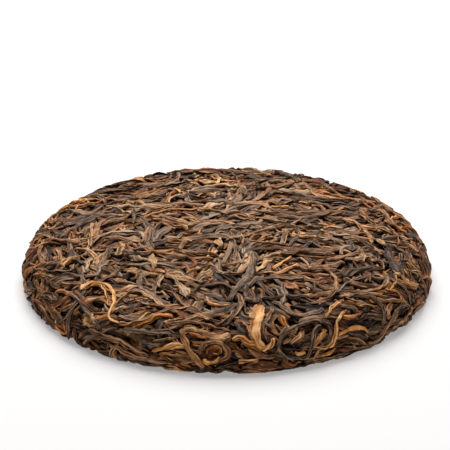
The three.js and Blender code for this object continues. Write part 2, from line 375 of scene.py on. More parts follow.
# Leaves that stand out in the photograph, the lowest first: the kind, the width in mm, the tone
# from dark to pale, and pixels along the middle of each in the 450 x 450 image
MARKED_LEAVES = {
    "back_olive_strip": (
        "long_dark_leaves", 2.4, 0.9,
        [(310, 202), (329, 205), (346, 206), (358, 209)]),
    "back_tan_leaf": ("tan_strips", 3.0, 0.5, [(307, 187), (318, 194), (329, 198), (345, 199)]),
    "back_tan_strip": ("tan_strips", 2.6, 0.6, [(231, 204), (248, 202), (262, 203), (273, 208)]),
    "middle_tan_strip": ("tan_strips", 1.8, 0.7, [(250, 208), (262, 211), (276, 213)]),
    "middle_tan_wisp": ("tan_strips", 1.6, 0.8, [(234, 214), (248, 215), (257, 218)]),
    "back_pink_strip": ("tan_strips", 2.2, 0.3, [(359, 209), (369, 219), (377, 226), (376, 232)]),
    "back_edge_strip": ("brown_strips", 2.2, 0.9, [(366, 199), (379, 208), (388, 217), (394, 227)]),
    "wide_grey_leaf": ("grey_strips", 4.4, 0.9, [(150, 241), (156, 235), (163, 230), (177, 226)]),
    "long_slate_strip": (
        "long_dark_leaves", 2.4, 0.6,
        [(132, 250), (146, 246), (160, 241), (174, 237), (186, 230)]),
    "long_grey_leaf": ("grey_strips", 2.8, 0.7, [(68, 209), (84, 212), (104, 214), (127, 215)]),
    "star_strip": ("grey_strips", 2.4, 0.2, [(135, 206), (134, 214), (133, 223)]),
    "star_tan_strip": ("tan_strips", 2.0, 0.5, [(141, 213), (153, 209), (166, 206)]),
    "star_pale_strip": ("tan_strips", 1.5, 0.8, [(118, 206), (126, 211), (132, 214)]),
    "curved_olive_leaf": (
        "dark_folds", 4.6, 0.9,
        [(139, 214), (144, 222), (149, 229), (151, 238), (144, 243)]),
    "left_brown_curve": ("brown_strips", 2.8, 0.8, [(107, 218), (99, 224), (95, 232), (94, 240)]),
    "left_grey_strip": ("grey_strips", 2.6, 0.4, [(58, 237), (69, 230), (82, 223)]),
    "arched_tan_strip": ("tan_strips", 1.6, 0.6, [(174, 212), (186, 213), (193, 218), (198, 221)]),
    "long_tan_leaf": (
        "long_tan_leaves", 1.6, 0.9,
        [(187, 226), (197, 222), (209, 220), (223, 220), (235, 225)]),
    "slate_sweep": (
        "long_dark_leaves", 3.0, 0.5,
        [(287, 244), (299, 236), (318, 232), (336, 226), (346, 223)]),
    "right_brown_leaf": (
        "long_brown_leaves", 3.0, 0.5,
        [(252, 248), (276, 247), (299, 250), (321, 250), (342, 248)]),
    "right_pink_leaf": (
        "long_brown_leaves", 3.2, 0.8,
        [(310, 265), (327, 258), (344, 255), (360, 250)]),
    "slate_flake": ("dark_folds", 4.4, 0.3, [(350, 238), (350, 244), (349, 251)]),
    "blue_black_flake": ("dark_folds", 5.0, 0.0, [(388, 250), (391, 258), (396, 266), (399, 274)]),
    "tan_spot": ("tan_chips", 2.8, 0.6, [(396, 272), (399, 276)]),
    "tan_stick": ("tan_strips", 1.9, 0.6, [(352, 219), (362, 227), (370, 236), (372, 244)]),
    "green_tan_flake": ("tan_chips", 3.6, 0.8, [(376, 238), (381, 242), (386, 246)]),
    "right_tan_wisp": ("tan_strips", 1.8, 0.6, [(374, 247), (379, 251), (383, 254)]),
    "right_edge_tan": ("tan_strips", 1.9, 0.6, [(405, 243), (414, 247), (419, 252)]),
    "olive_curve": ("grey_strips", 2.0, 0.9, [(293, 227), (286, 231), (283, 236), (282, 244)]),
    "bright_pair_left": ("golden_buds", 1.5, 0.6, [(319, 230), (326, 232), (333, 235)]),
    "bright_pair_right": ("golden_buds", 1.5, 0.8, [(322, 229), (331, 227), (344, 229)]),
    "small_golden_strip": ("golden_buds", 1.4, 0.5, [(299, 237), (308, 236), (318, 237)]),
    "brown_side_strip": ("brown_strips", 2.0, 0.7, [(44, 240), (63, 240), (82, 242)]),
    "left_edge_curve": ("brown_strips", 2.0, 0.5, [(41, 244), (39, 252), (41, 259), (46, 264)]),
    "tan_flake": ("tan_folds", 3.8, 0.5, [(57, 244), (59, 250), (61, 257)]),
    "purple_flake": ("dark_folds", 4.4, 0.2, [(69, 246), (72, 253), (77, 259), (84, 264)]),
    "pale_tan_leaf": ("tan_folds", 3.0, 0.8, [(92, 220), (91, 233), (90, 247)]),
    "pale_side_flake": ("tan_chips", 2.2, 0.7, [(75, 233), (84, 230)]),
    "pale_grey_flake": ("tan_chips", 3.4, 0.5, [(124, 223), (122, 231)]),
    "pink_fold": ("tan_folds", 4.4, 0.3, [(118, 240), (121, 246), (118, 254)]),
    "orange_curve": ("tan_strips", 2.0, 0.7, [(73, 247), (83, 248), (93, 253), (97, 259), (95, 265)]),
    "purple_strip": ("dark_strips", 2.2, 0.4, [(127, 253), (139, 254), (152, 253)]),
    "orange_thin_strip": ("golden_buds", 1.4, 0.2, [(140, 251), (160, 252), (177, 253)]),
    "light_fork": ("golden_buds", 1.3, 0.8, [(167, 241), (177, 239), (193, 241)]),
    "grey_edge_strip": ("grey_strips", 2.8, 0.5, [(98, 268), (103, 258), (109, 249), (116, 239)]),
    "grey_twig": ("grey_strips", 2.2, 0.9, [(95, 279), (97, 273), (103, 264), (109, 259)]),
    "knobbed_twig": ("dark_strips", 1.8, 0.5, [(114, 256), (123, 257), (133, 259)]),
    "tan_pieces": ("tan_strips", 1.9, 0.7, [(149, 269), (160, 270), (165, 273)]),
    "olive_block": ("tan_folds", 4.2, 0.4, [(195, 280), (204, 274), (216, 267)]),
    "amber_strand": (
        "long_tan_leaves", 1.4, 0.5,
        [(189, 267), (197, 264), (211, 264), (219, 268), (226, 273)]),
    "tan_strand": ("brown_strips", 1.7, 0.7, [(220, 264), (229, 264), (237, 261), (246, 261)]),
    "olive_gold_loop": ("brown_strips", 1.6, 0.9, [(229, 271), (236, 274), (243, 271), (248, 264)]),
    "brown_wisp": ("brown_strips", 1.8, 0.7, [(186, 294), (197, 296), (204, 300)]),
    "golden_thin_strip": ("golden_buds", 1.5, 0.4, [(206, 296), (209, 301), (216, 304), (231, 303)]),
    "grey_stem": (
        "long_dark_leaves", 2.2, 1.0,
        [(154, 273), (146, 274), (140, 279), (141, 286), (147, 291), (157, 297), (169, 302),
         (179, 304)]),
    "small_hook": ("brown_strips", 1.4, 0.6, [(139, 268), (138, 273), (134, 278)]),
    "grey_fork_branch": (
        "long_dark_leaves", 3.0, 0.8,
        [(304, 278), (279, 277), (259, 278), (247, 284)]),
    "grey_fork": (
        "long_dark_leaves", 4.4, 0.8,
        [(254, 252), (254, 260), (252, 271), (243, 281), (234, 291), (228, 300)]),
    "golden_fork_long": ("golden_buds", 2.3, 0.7, [(300, 262), (290, 267), (279, 271), (262, 270)]),
    "golden_fork_short": ("golden_buds", 2.0, 0.6, [(292, 254), (284, 260), (277, 265), (272, 268)]),
    "brown_flat_strip": ("long_brown_leaves", 2.8, 0.6, [(307, 269), (326, 265), (346, 261)]),
    "blue_black_strips": ("dark_strips", 3.4, 0.1, [(343, 276), (354, 270), (368, 268), (382, 268)]),
    "olive_nest_strip": ("grey_strips", 2.2, 0.9, [(305, 281), (313, 287), (324, 289)]),
    "purple_curl": (
        "long_brown_leaves", 2.4, 0.9,
        [(324, 269), (332, 272), (337, 280), (336, 288), (331, 295), (321, 300), (310, 302)]),
    "olive_leaf": (
        "long_dark_leaves", 2.8, 0.9,
        [(272, 299), (280, 303), (286, 309), (296, 314), (307, 314), (318, 312), (324, 307)]),
    "purple_twist": ("brown_strips", 2.4, 0.7, [(303, 297), (315, 294), (324, 292), (332, 294)]),
    "dark_straight_strip": (
        "long_dark_leaves", 2.0, 0.0,
        [(261, 298), (268, 297), (283, 296), (301, 296), (310, 297)]),
    "olive_strand": (
        "long_dark_leaves", 1.8, 0.7,
        [(336, 294), (343, 285), (355, 278), (367, 276), (381, 277), (394, 280), (404, 287),
         (409, 295), (412, 306)]),
    "edge_arch": (
        "long_dark_leaves", 2.0, 0.3,
        [(349, 297), (359, 294), (370, 295), (379, 301), (383, 309), (384, 319), (383, 326)]),
    "golden_arch": ("golden_buds", 1.8, 0.3, [(385, 290), (395, 291), (401, 296), (401, 304)]),
    "upright_strip": ("brown_strips", 2.2, 0.8, [(393, 301), (390, 309), (388, 320)]),
    "edge_slant": (
        "long_brown_leaves", 2.2, 0.6,
        [(401, 306), (394, 319), (387, 329), (379, 340), (369, 344)]),
    "edge_slant_low": ("brown_strips", 2.0, 0.5, [(412, 304), (409, 314), (401, 322), (392, 330)]),
    "left_dark_strip": (
        "long_dark_leaves", 2.6, 0.3,
        [(69, 293), (79, 300), (87, 310), (96, 323), (101, 329)]),
    "left_russet_strip": ("russet_strips", 2.6, 0.3, [(73, 291), (84, 301), (97, 310)]),
    "left_brown_strip": ("brown_strips", 1.7, 0.5, [(58, 283), (74, 282), (83, 284)]),
    "pale_flake": ("tan_folds", 5.2, 0.7, [(84, 315), (89, 320), (94, 325)]),
    "rim_strip_low": (
        "long_brown_leaves", 2.0, 0.6,
        [(99, 340), (117, 349), (131, 356), (151, 361), (167, 363)]),
    "rim_strip_high": (
        "long_brown_leaves", 2.2, 0.4,
        [(88, 329), (104, 337), (122, 343), (134, 351), (150, 357)]),
    "rim_dark_leaf": ("dark_folds", 4.0, 0.4, [(136, 342), (151, 343), (163, 345)]),
    "rim_wide_strip": ("long_dark_leaves", 2.8, 0.5, [(123, 331), (140, 331), (160, 332), (179, 333)]),
    "long_brown_strip": (
        "long_brown_leaves", 1.6, 0.7,
        [(160, 326), (174, 323), (189, 321), (203, 322), (217, 326), (231, 330)]),
    "tan_piece_left": ("tan_strips", 1.8, 0.7, [(163, 321), (171, 319), (183, 314)]),
    "pink_tan_piece": ("tan_strips", 2.2, 0.4, [(189, 315), (200, 316), (210, 320)]),
    "purple_thin_curve": ("brown_strips", 1.5, 0.4, [(234, 308), (230, 316), (221, 321), (211, 321)]),
    "tan_stem_loop": (
        "long_tan_leaves", 1.6, 0.8,
        [(112, 314), (115, 304), (121, 297), (130, 291), (139, 290), (147, 294), (157, 300),
         (167, 306), (180, 304)]),
    "dark_hook": (
        "long_dark_leaves", 2.0, 0.3,
        [(154, 300), (146, 299), (137, 303), (131, 309), (124, 311), (119, 308), (122, 302)]),
    "golden_loop_inner": (
        "long_golden_leaves", 1.2, 0.5,
        [(83, 290), (90, 286), (99, 285), (106, 291), (109, 299), (110, 305)]),
    "golden_loop": (
        "long_golden_leaves", 1.7, 0.9,
        [(81, 291), (85, 285), (93, 282), (103, 283), (110, 287), (114, 294), (114, 303), (111, 311),
         (109, 317), (114, 321), (121, 324)]),
    "olive_stem": (
        "long_tan_leaves", 1.9, 0.3,
        [(118, 323), (126, 324), (134, 321), (146, 318), (154, 314), (167, 310), (181, 308),
         (193, 307)]),
    "orange_tan_leaf": ("golden_buds", 2.3, 0.5, [(151, 352), (164, 348), (175, 345), (185, 347)]),
    "rim_golden_wisp": ("golden_buds", 1.5, 0.3, [(157, 356), (164, 354), (172, 351)]),
    "spiral_outer": (
        "long_brown_leaves", 2.2, 0.6,
        [(199, 356), (201, 347), (210, 341), (220, 342), (227, 348), (227, 356), (219, 362)]),
    "spiral_inner": (
        "long_golden_leaves", 1.6, 0.1,
        [(206, 354), (208, 348), (214, 346), (220, 350), (218, 355), (213, 354)]),
    "low_golden_hook": ("golden_buds", 2.2, 0.4, [(202, 360), (209, 363), (218, 360), (221, 357)]),
    "low_golden_strip": ("golden_buds", 2.0, 0.3, [(238, 363), (248, 361), (259, 360)]),
    "tan_fold_right": (
        "long_tan_leaves", 3.0, 0.6,
        [(182, 327), (190, 327), (201, 331), (212, 335), (222, 337), (231, 333)]),
    "tan_fold_left": (
        "long_tan_leaves", 2.8, 0.2,
        [(181, 328), (184, 338), (189, 351), (197, 361), (203, 368)]),
    "low_brown_wisp": ("brown_strips", 1.3, 0.9, [(247, 347), (256, 355), (273, 357), (280, 355)]),
    "light_side_strip": ("tan_strips", 1.8, 0.9, [(235, 318), (244, 320), (249, 327), (250, 333)]),
    "blue_black_strip": ("dark_strips", 2.6, 0.0, [(235, 320), (241, 330), (247, 336), (251, 340)]),
    "red_orange_leaf": (
        "long_golden_leaves", 2.8, 0.0,
        [(232, 340), (240, 337), (247, 342), (256, 346), (264, 351)]),
    "brown_s_strip": (
        "long_brown_leaves", 2.6, 0.4,
        [(273, 306), (269, 316), (264, 322), (264, 331), (267, 337), (269, 343)]),
    "brown_curl": (
        "brown_strips", 2.4, 0.7,
        [(273, 319), (273, 327), (278, 333), (285, 331), (288, 326)]),
    "big_golden_leaf": (
        "long_golden_leaves", 5.8, 0.9,
        [(260, 303), (257, 313), (255, 323), (255, 333), (259, 343), (264, 350)]),
    "golden_hook": ("golden_buds", 2.3, 0.6, [(261, 350), (268, 348), (273, 342), (272, 337)]),
    "tan_leaf_by_loops": ("tan_strips", 2.2, 0.5, [(282, 344), (290, 339), (296, 330), (299, 324)]),
    "tan_leaf_in_loops": ("tan_strips", 1.8, 0.6, [(290, 343), (299, 337), (306, 329)]),
    "small_golden_hook": ("golden_buds", 1.8, 0.4, [(294, 353), (300, 355), (306, 352)]),
    "dark_loop_outer": (
        "long_dark_leaves", 1.9, 0.2,
        [(326, 322), (316, 320), (304, 323), (290, 329), (282, 336), (279, 344), (282, 353),
         (289, 358), (296, 363)]),
    "golden_wedge": ("golden_buds", 3.2, 0.5, [(326, 327), (324, 334), (318, 341), (314, 348)]),
    "dark_loop_inner": (
        "long_dark_leaves", 1.9, 0.2,
        [(323, 325), (316, 329), (313, 339), (311, 350), (307, 357), (301, 360)]),
    "dark_loop_right": (
        "dark_strips", 1.8, 0.3,
        [(322, 321), (329, 323), (332, 329), (332, 335), (329, 340)]),
    "golden_top_piece": ("golden_buds", 2.2, 0.6, [(341, 301), (332, 306), (329, 313), (324, 318)]),
    "orange_strip": ("golden_buds", 1.8, 0.1, [(342, 316), (352, 317), (362, 312)]),
    "black_flake": ("dark_folds", 3.4, 0.0, [(349, 333), (358, 334), (366, 337)]),
    "golden_s_leaf": (
        "long_golden_leaves", 2.0, 0.7,
        [(346, 309), (341, 315), (337, 322), (338, 330), (336, 339), (329, 349)]),
    "orange_leaf": (
        "long_golden_leaves", 2.0, 0.1,
        [(339, 337), (346, 332), (355, 328), (363, 329), (368, 332)]),
}


def smooth_noise(points, wave, terms, source):
    """A smooth random value for each place, about -1 to 1, that changes over one wave length."""
    value = np.zeros(points.shape[:-1])
    for _ in range(terms):
        direction = unit(source.normal(size=3))
        spin = 2 * math.pi * source.uniform(0.7, 1.3) / wave
        value += np.sin(points @ (direction * spin) + source.uniform(0, 2 * math.pi))
    return value / math.sqrt(terms / 2)


def even_middles(shape):
    """Random places spread evenly over the form by area."""
    is_base = SECTION_OUT[:, 1] < -0.5
    ring = (SECTION[:, 0] + 0.1) * np.where(is_base, BASE_SHARE, 1)
    share = np.cumsum(ring) / ring.sum()
    i = np.searchsorted(share, rng.uniform(0, 1, shape)).clip(0, len(SECTION) - 1)
    angle = rng.uniform(0, 2 * math.pi, shape)
    flat = SECTION[i]
    return np.stack([flat[..., 0] * np.cos(angle), flat[..., 0] * np.sin(angle), flat[..., 1]], -1)


def headings(places):
    """The way the leaves lie: along X on the flats and round the edge, turned by a smooth field."""
    _, normal = snap(places)
    round_way = unit(np.stack([-places[..., 1], places[..., 0], 0 * places[..., 0]], -1) + 1e-6)
    flat_way = lay_flat(np.broadcast_to([1.0, 0.02, 0.01], places.shape), normal)
    is_flat = (np.abs(normal[..., 2:]) > FLAT_LEAN).astype(float)
    base_way = lay_flat(is_flat * flat_way + (1 - is_flat) * round_way, normal)
    field = smooth_noise(places, WAY_WAVE, NOISE_TERMS, np.random.default_rng(SEED + 1))
    calm = 1 - 0.4 * np.clip(places[..., 1] / (0.6 * CAKE_RADIUS) + 0.5, 0, 1)
    turn = calm * field + rng.normal(0, WAY_SPREAD, places.shape[:-1])
    stray = rng.uniform(0, 1, places.shape[:-1]) < STRAY_SHARE * calm
    turn = np.where(stray, rng.uniform(-1.57, 1.57, turn.shape), turn)
    low_edge = (np.abs(normal[..., 2]) < 0.9) & (places[..., 2] < LOW_EDGE)
    turn = np.where(low_edge, LOW_EDGE_TURN * turn, turn)[..., None]
    return np.cos(turn) * base_way + np.sin(turn) * np.cross(normal, base_way)


class Relief:
    """The height of what is laid so far, kept in small cubes of space round the form."""

    def __init__(self):
        reach = CAKE_RADIUS + RELIEF_MARGIN
        self.low = np.array([-reach, -reach, -RELIEF_MARGIN])
        size = np.array([2 * reach, 2 * reach, CAKE_HEIGHT + 2 * RELIEF_MARGIN])
        self.shape = tuple(int(v / CELL) + 1 for v in size)
        self.height = np.zeros(self.shape, np.float32).ravel()
        self.met = np.zeros(self.height.shape, bool)

    def cells(self, places):
        """The flat index of the cube on the form nearest to each place."""
        i = ((snap(places)[0] - self.low) / CELL).astype(int)
        return (i[..., 0] * self.shape[1] + i[..., 1]) * self.shape[2] + i[..., 2]

    def under(self, places):
        """The height at some places."""
        return self.height[self.cells(places)]

    def raise_to(self, places, heights):
        """Lifts the height at some places to at least the given ones."""
        index = self.cells(places).ravel()
        np.maximum.at(self.height, index, heights.ravel().astype(np.float32))
        self.met[index] = True

    def local_mean(self, reach):
        """The mean height within a distance of each cube, over the cubes that hold any leaf."""
        def boxed(values):
            values = values.reshape(self.shape).astype(np.float64)
            span = int(reach / CELL)
            for axis in range(3):
                nothing = np.zeros_like(values.take([0], axis))
                padded = np.concatenate([nothing, values.cumsum(axis)], axis)
                size = values.shape[axis]
                last = np.minimum(np.arange(size) + span + 1, size)
                first = np.maximum(np.arange(size) - span, 0)
                values = padded.take(last, axis) - padded.take(first, axis)
            return values.ravel()
        return boxed(self.height * self.met) / np.maximum(boxed(self.met), 1e-6)


def smoothed(values, passes):
    """The values with each moved towards its neighbours, some times over."""
    for _ in range(passes):
        padded = np.pad(values, 1, mode="edge")
        values = 0.25 * padded[:-2] + 0.5 * padded[1:-1] + 0.25 * padded[2:]
    return values


def path_frames(path):
    """The direction along a path, out of the form and across it, at each of its places."""
    _, normal = snap(path)
    along = lay_flat(np.gradient(path, axis=-2), normal)
    return along, normal, np.cross(along, normal)


def width_share(form, tips, share):
    """How wide a leaf is along its length, as a share of its full width."""
    skewed = share**0.8 if form == "bud" else share
    return np.clip(4 * skewed * (1 - skewed), 0, 1) ** tips


def lay_leaf(relief, leaf, sink, ease):
    """Lays one leaf over what is there, and notes its height and its sideways lean on its path."""
    path, thick = leaf["path"], leaf["thick"]
    count = len(path)
    share = np.linspace(0, 1, count)
    half = np.maximum(leaf["width"] / 2 * width_share(leaf["form"], leaf["tips"], share), 0.2)
    _, _, across = path_frames(path)
    lines = [relief.under(path + across * (half * k)[:, None]) for k in PROBES]
    left = np.maximum(lines[0], lines[1])
    right = np.maximum(lines[3], lines[4])
    resting = np.maximum(lines[2], 0.5 * (left + right))
    resting = np.maximum(smoothed(resting, ease // 3), smoothed(resting, ease)) - sink * thick
    slope = (right - left) / (2 * PROBES[-1] * half)
    lean = smoothed(np.clip(slope, -LEAN_LIMIT, LEAN_LIMIT), 3) * LEAN_SHARE
    fine = np.linspace(0, count - 1, count * 3)
    near = fine.astype(int).clip(0, count - 2)
    part = (fine - near)[:, None]
    fine_path = path[near] * (1 - part) + path[near + 1] * part
    for k in np.linspace(-0.9, 0.9, int(leaf["width"] / 0.6) + 2):
        crown = thick * math.sqrt(1 - k * k)
        offset = (half * k)[near]
        top = resting[near] + lean[near] * offset + crown
        relief.raise_to(fine_path + across[near] * offset[:, None], top)
    leaf["resting"], leaf["lean"] = resting, lean


def scattered_bundles():
    """Every scattered leaf, in small bundles that lie side by side, the longest laid last."""
    bundles = []
    for name, kind in KINDS.items():
        left = kind.count
        while left > 0:
            size = 1 if kind.form in ("scrap", "stem", "chip") else int(rng.choice(BUNDLE_SIZES))
            size = min(size, left)
            left -= size
            reach = rng.beta(1.2, 1.8)
            bundles.append((name, size, reach, kind.late + LONG_LATE * reach + rng.uniform(0, 0.8)))
    return sorted(bundles, key=lambda bundle: bundle[3])


def leaf_bends(form, size):
    """The turn at each step of a bundle's paths: one slow bend, with small wanders on it."""
    steps = FORMS[form].path
    share = np.linspace(-1, 1, steps)
    strength = FORMS[form].bend * (0.5 + rng.exponential(0.5))
    slow = rng.normal(0, strength * 0.6, (1, 1)) + rng.normal(0, strength * 0.8, (1, 1)) * share
    own = rng.normal(0, strength * 0.5, (size, 1)) + rng.normal(0, strength * 0.4, (size, steps))
    return np.clip(slow + own, -0.45, 0.45)


def bundle_paths(kind, middles, ways, size, reach):
    """The paths, lengths and widths of a bundle's leaves, at each of its possible places."""
    place, normal = snap(middles)
    across = np.cross(ways, normal)
    reaches = np.clip(reach + rng.normal(0, 0.12, size), 0, 1)
    lengths = kind.length[0] + (kind.length[1] - kind.length[0]) * reaches
    widths = rng.uniform(*kind.width, size)
    bends = leaf_bends(kind.form, size)
    gaps = np.arange(size) * widths.mean() * BUNDLE_GAP
    starts = place[:, None] + across[:, None] * gaps[:, None]
    starts = starts + ways[:, None] * rng.uniform(-BUNDLE_SLIP, BUNDLE_SLIP, (1, size, 1))
    turns = rng.normal(0, BUNDLE_FAN, (1, size, 1))
    way = np.cos(turns) * ways[:, None] + np.sin(turns) * across[:, None]
    shape = starts.shape[:-1]
    bends = np.broadcast_to(bends, (*shape, bends.shape[-1]))
    paths = leaf_paths(starts, way, np.broadcast_to(lengths, shape), bends)
    return paths, lengths, widths


def new_leaf(name, path, width, length, tone, warmth, tips):
    """All that is settled about a leaf before it is laid."""
    kind = KINDS[name]
    return dict(
        kind=name, form=kind.form, path=path, width=width, length=length, thick=rng.uniform(*kind.thick),
        tone=tone, warmth=warmth, tips=tips)


def edge_share(place):
    """How near a place is to the cake's edge or base: 0 in the middle of the top and 1 there."""
    away = math.hypot(place[0], place[1]) / CAKE_RADIUS
    return min(1, away**2) if place[2] > CAKE_HEIGHT / 2 else 1


def lay_scattered(relief):
    """Lays the scattered leaves from the lowest to the highest, each where the heap is low."""
    bundles = scattered_bundles()
    middles = even_middles((len(bundles), CANDIDATES))
    ways = headings(middles)
    laid = []
    for index, (name, size, reach, _) in enumerate(bundles):
        kind = KINDS[name]
        paths, lengths, widths = bundle_paths(kind, middles[index], ways[index], size, reach)
        best = relief.under(paths).mean((1, 2)).argmin()
        for path, width, length in zip(paths[best], widths, lengths):
            tips = rng.uniform(*FORMS[kind.form].tips)
            edge = edge_share(path.mean(0))
            # Tone and warmth shift with the place: partly painted light on the top's middle and painted
            # shade at the edge and base
            tone = rng.uniform(0, 1) + MIDDLE_TONE + edge * (EDGE_TONE - MIDDLE_TONE)
            warmth = rng.uniform(0, 1) + MIDDLE_WARMTH + edge * (EDGE_WARMTH - MIDDLE_WARMTH)
            leaf = new_leaf(name, path, width, length, tone, warmth, tips)
            lay_leaf(relief, leaf, SCATTERED_SINK, SCATTERED_EASE)
            laid.append(leaf)
    return laid


def lay_marked(relief):
    """Lays the leaves that stand out in the photograph over all the others."""
    laid = []
    for name, width, tone, pixels in MARKED_LEAVES.values():
        steps = FORMS[KINDS[name].form].path
        path, length = smooth_line(places_under_pixels(pixels), steps)
        warmth = MARKED_WARMTH[KINDS[name].slot]
        leaf = new_leaf(name, path, width, length, tone, warmth, MARKED_TIPS)
        lay_leaf(relief, leaf, MARKED_SINK, MARKED_EASE)
        laid.append(leaf)
    return laid


def not_buried(relief, leaves):
    """The leaves that come near enough to the top of the heap to be seen through its gaps."""
    kept = []
    for leaf in leaves:
        top = leaf["resting"] + leaf["thick"]
        if (top - relief.under(leaf["path"])).max() > -BURIED_DEPTH:
            kept.append(leaf)
    return kept


def slow_waves(count, rows, around):
    """Values about -1 to 1 that change slowly along each line of each leaf."""
    share = np.linspace(0, 1, rows)[:, None]
    speed = rng.uniform(2, 9, (count, 1, around))
    return np.sin(share * speed + rng.uniform(0, 2 * math.pi, (count, 1, around)))


def rolled_section(form, half_width, half_thick, around):
    """Sections of rolled leaves: an oval whose lengthwise ridges turn slowly along the leaf."""
    count, rows = half_width.shape
    angle = np.linspace(-math.pi / 2, 1.5 * math.pi, around, endpoint=False)
    share = np.linspace(-0.5, 0.5, rows)[:, None]
    lobes = rng.integers(*ROLL_LOBES, (count, 1, 1))
    own = rng.normal(0, RIDGE_SPREAD, (count, 1, around))
    ridge = np.cos(lobes * angle + rng.uniform(0, 2 * math.pi, (count, 1, 1))) + own
    ridge = ridge + RIDGE_SPREAD * slow_waves(count, rows, around)
    ridge = np.clip(ridge, -RIDGE_LIMIT, RIDGE_LIMIT) / RIDGE_LIMIT
    angle = angle + rng.uniform(-ROLL_TURN, ROLL_TURN, (count, 1, 1)) * share
    depth = FORMS[form].ridge * np.minimum(half_thick, RIDGE_THICK)[..., None]
    a = half_width[..., None]
    b = half_thick[..., None]
    out = np.stack([np.cos(angle) * b, np.sin(angle) * a], -1)
    out /= np.maximum(np.linalg.norm(out, axis=-1, keepdims=True), 1e-9)
    x = np.cos(angle) * a + out[..., 0] * ridge * depth
    y = np.sin(angle) * b + out[..., 1] * ridge * depth
    return x, y, 0.5 + 0.5 * ridge


def fold_section(half_width, half_thick, around):
    """Sections of open leaves: a thin sheet, creased and with its edges curled up or down."""
    count, rows = half_width.shape
    half = around // 2
    there = np.linspace(-1, 1, half, endpoint=False)
    across = np.concatenate([there, -there])
    side = np.concatenate([-np.ones(half), np.ones(half)]) * np.sqrt(np.clip(1 - across**4, 0.02, 1))
    share = np.linspace(0, 1, rows)[:, None]
    curl = rng.uniform(-FOLD_CURL, FOLD_CURL, (count, 1, 1))
    tip = rng.uniform(-FOLD_TIP, FOLD_TIP, (count, 1, 1))
    wave = np.sin(rng.uniform(3, 9, (count, 1, 1)) * share + rng.uniform(0, 6, (count, 1, 1)))
    creases = rng.uniform(*FOLD_CREASES, (count, 1, 1))
    crease = np.cos(creases * across + rng.uniform(0, 6, (count, 1, 1)) + wave)
    width = half_width[..., None]
    camber = curl * (1 - across**2) * (0.7 + 0.3 * wave) + tip * across * wave + CREASE_DEPTH * crease
    edge = 1 + EDGE_WAVE * slow_waves(count, rows, 1) * np.sign(across)
    edge = edge + rng.normal(0, EDGE_RAGGED, (count, rows, 1))
    height = side * half_thick[..., None] + camber * np.minimum(width, 1)
    return across * width * edge, height, 0.5 + 0.5 * crease


def pressed_back(points):
    """The points, with what stands out past the press bent back, and most so on the low edge."""
    place, normal = snap(points)
    height = ((points - place) * normal).sum(-1)
    low = np.clip(1 - points[..., 2] / LOW_EDGE, 0, 1)
    limit = PRESS_LIMIT + low * (LOW_PRESS_LIMIT - PRESS_LIMIT)
    excess = np.maximum(height - limit, 0) * (1 - PRESS_GIVE)
    return points - normal * excess[..., None]


def leaf_vertices(leaves, form, shift, relief):
    """The vertices of a kind's leaves, how far each is on a ridge, and how deep in the heap."""
    around, rows = FORMS[form].around, FORMS[form].rows
    count = len(leaves)
    last = FORMS[form].path - 1
    pick = np.linspace(0, last, rows)
    near = pick.astype(int).clip(0, last - 1)
    part = pick - near

    def along_rows(key):
        values = np.stack([leaf[key] for leaf in leaves])
        weight = part.reshape((1, rows) + (1,) * (values.ndim - 2))
        return values[:, near] * (1 - weight) + values[:, near + 1] * weight

    path = along_rows("path")
    width, thick, tips = (
        np.array([[leaf[key]] for leaf in leaves]) for key in ("width", "thick", "tips"))
    _, normal, across = path_frames(path)
    share = np.linspace(0, 1, rows)
    taper = width_share(form, tips, share)
    taper[:, [0, -1]] = 0
    wobble = 1 + SWELL * slow_waves(count, rows, 1)[..., 0]
    wobble = wobble + rng.normal(0, FORMS[form].uneven, (count, rows))
    half_width = width / 2 * taper * wobble
    half_thick = thick / 2 * taper**0.5 * (2 - wobble)
    if form in ("fold", "chip"):
        x, y, ridge = fold_section(half_width, half_thick, around)
    else:
        x, y, ridge = rolled_section(form, half_width, half_thick, around)
    sway = np.sin(share * rng.uniform(2, 9, (count, 1)))
    twist = along_rows("lean") + rng.uniform(-TWIST, TWIST, (count, 1)) * sway
    cosine = np.cos(twist)[..., None]
    sine = np.sin(twist)[..., None]
    sideways = x * cosine - y * sine
    height = (along_rows("resting") + thick / 2)[..., None] + x * sine + y * cosine
    level = height + shift(path)[..., None]
    foot = path[:, :, None] + across[:, :, None] * sideways[..., None]
    depth = np.clip(relief.under(foot) - height, 0, DEEPEST)
    place = foot + normal[:, :, None] * level[..., None]
    source = np.random.default_rng(SEED + 3)
    moves = [smooth_noise(place, CRUMPLE_WAVE, NOISE_TERMS, source) for _ in range(3)]
    return pressed_back(place + CRUMPLE * np.stack(moves, -1)), ridge, depth


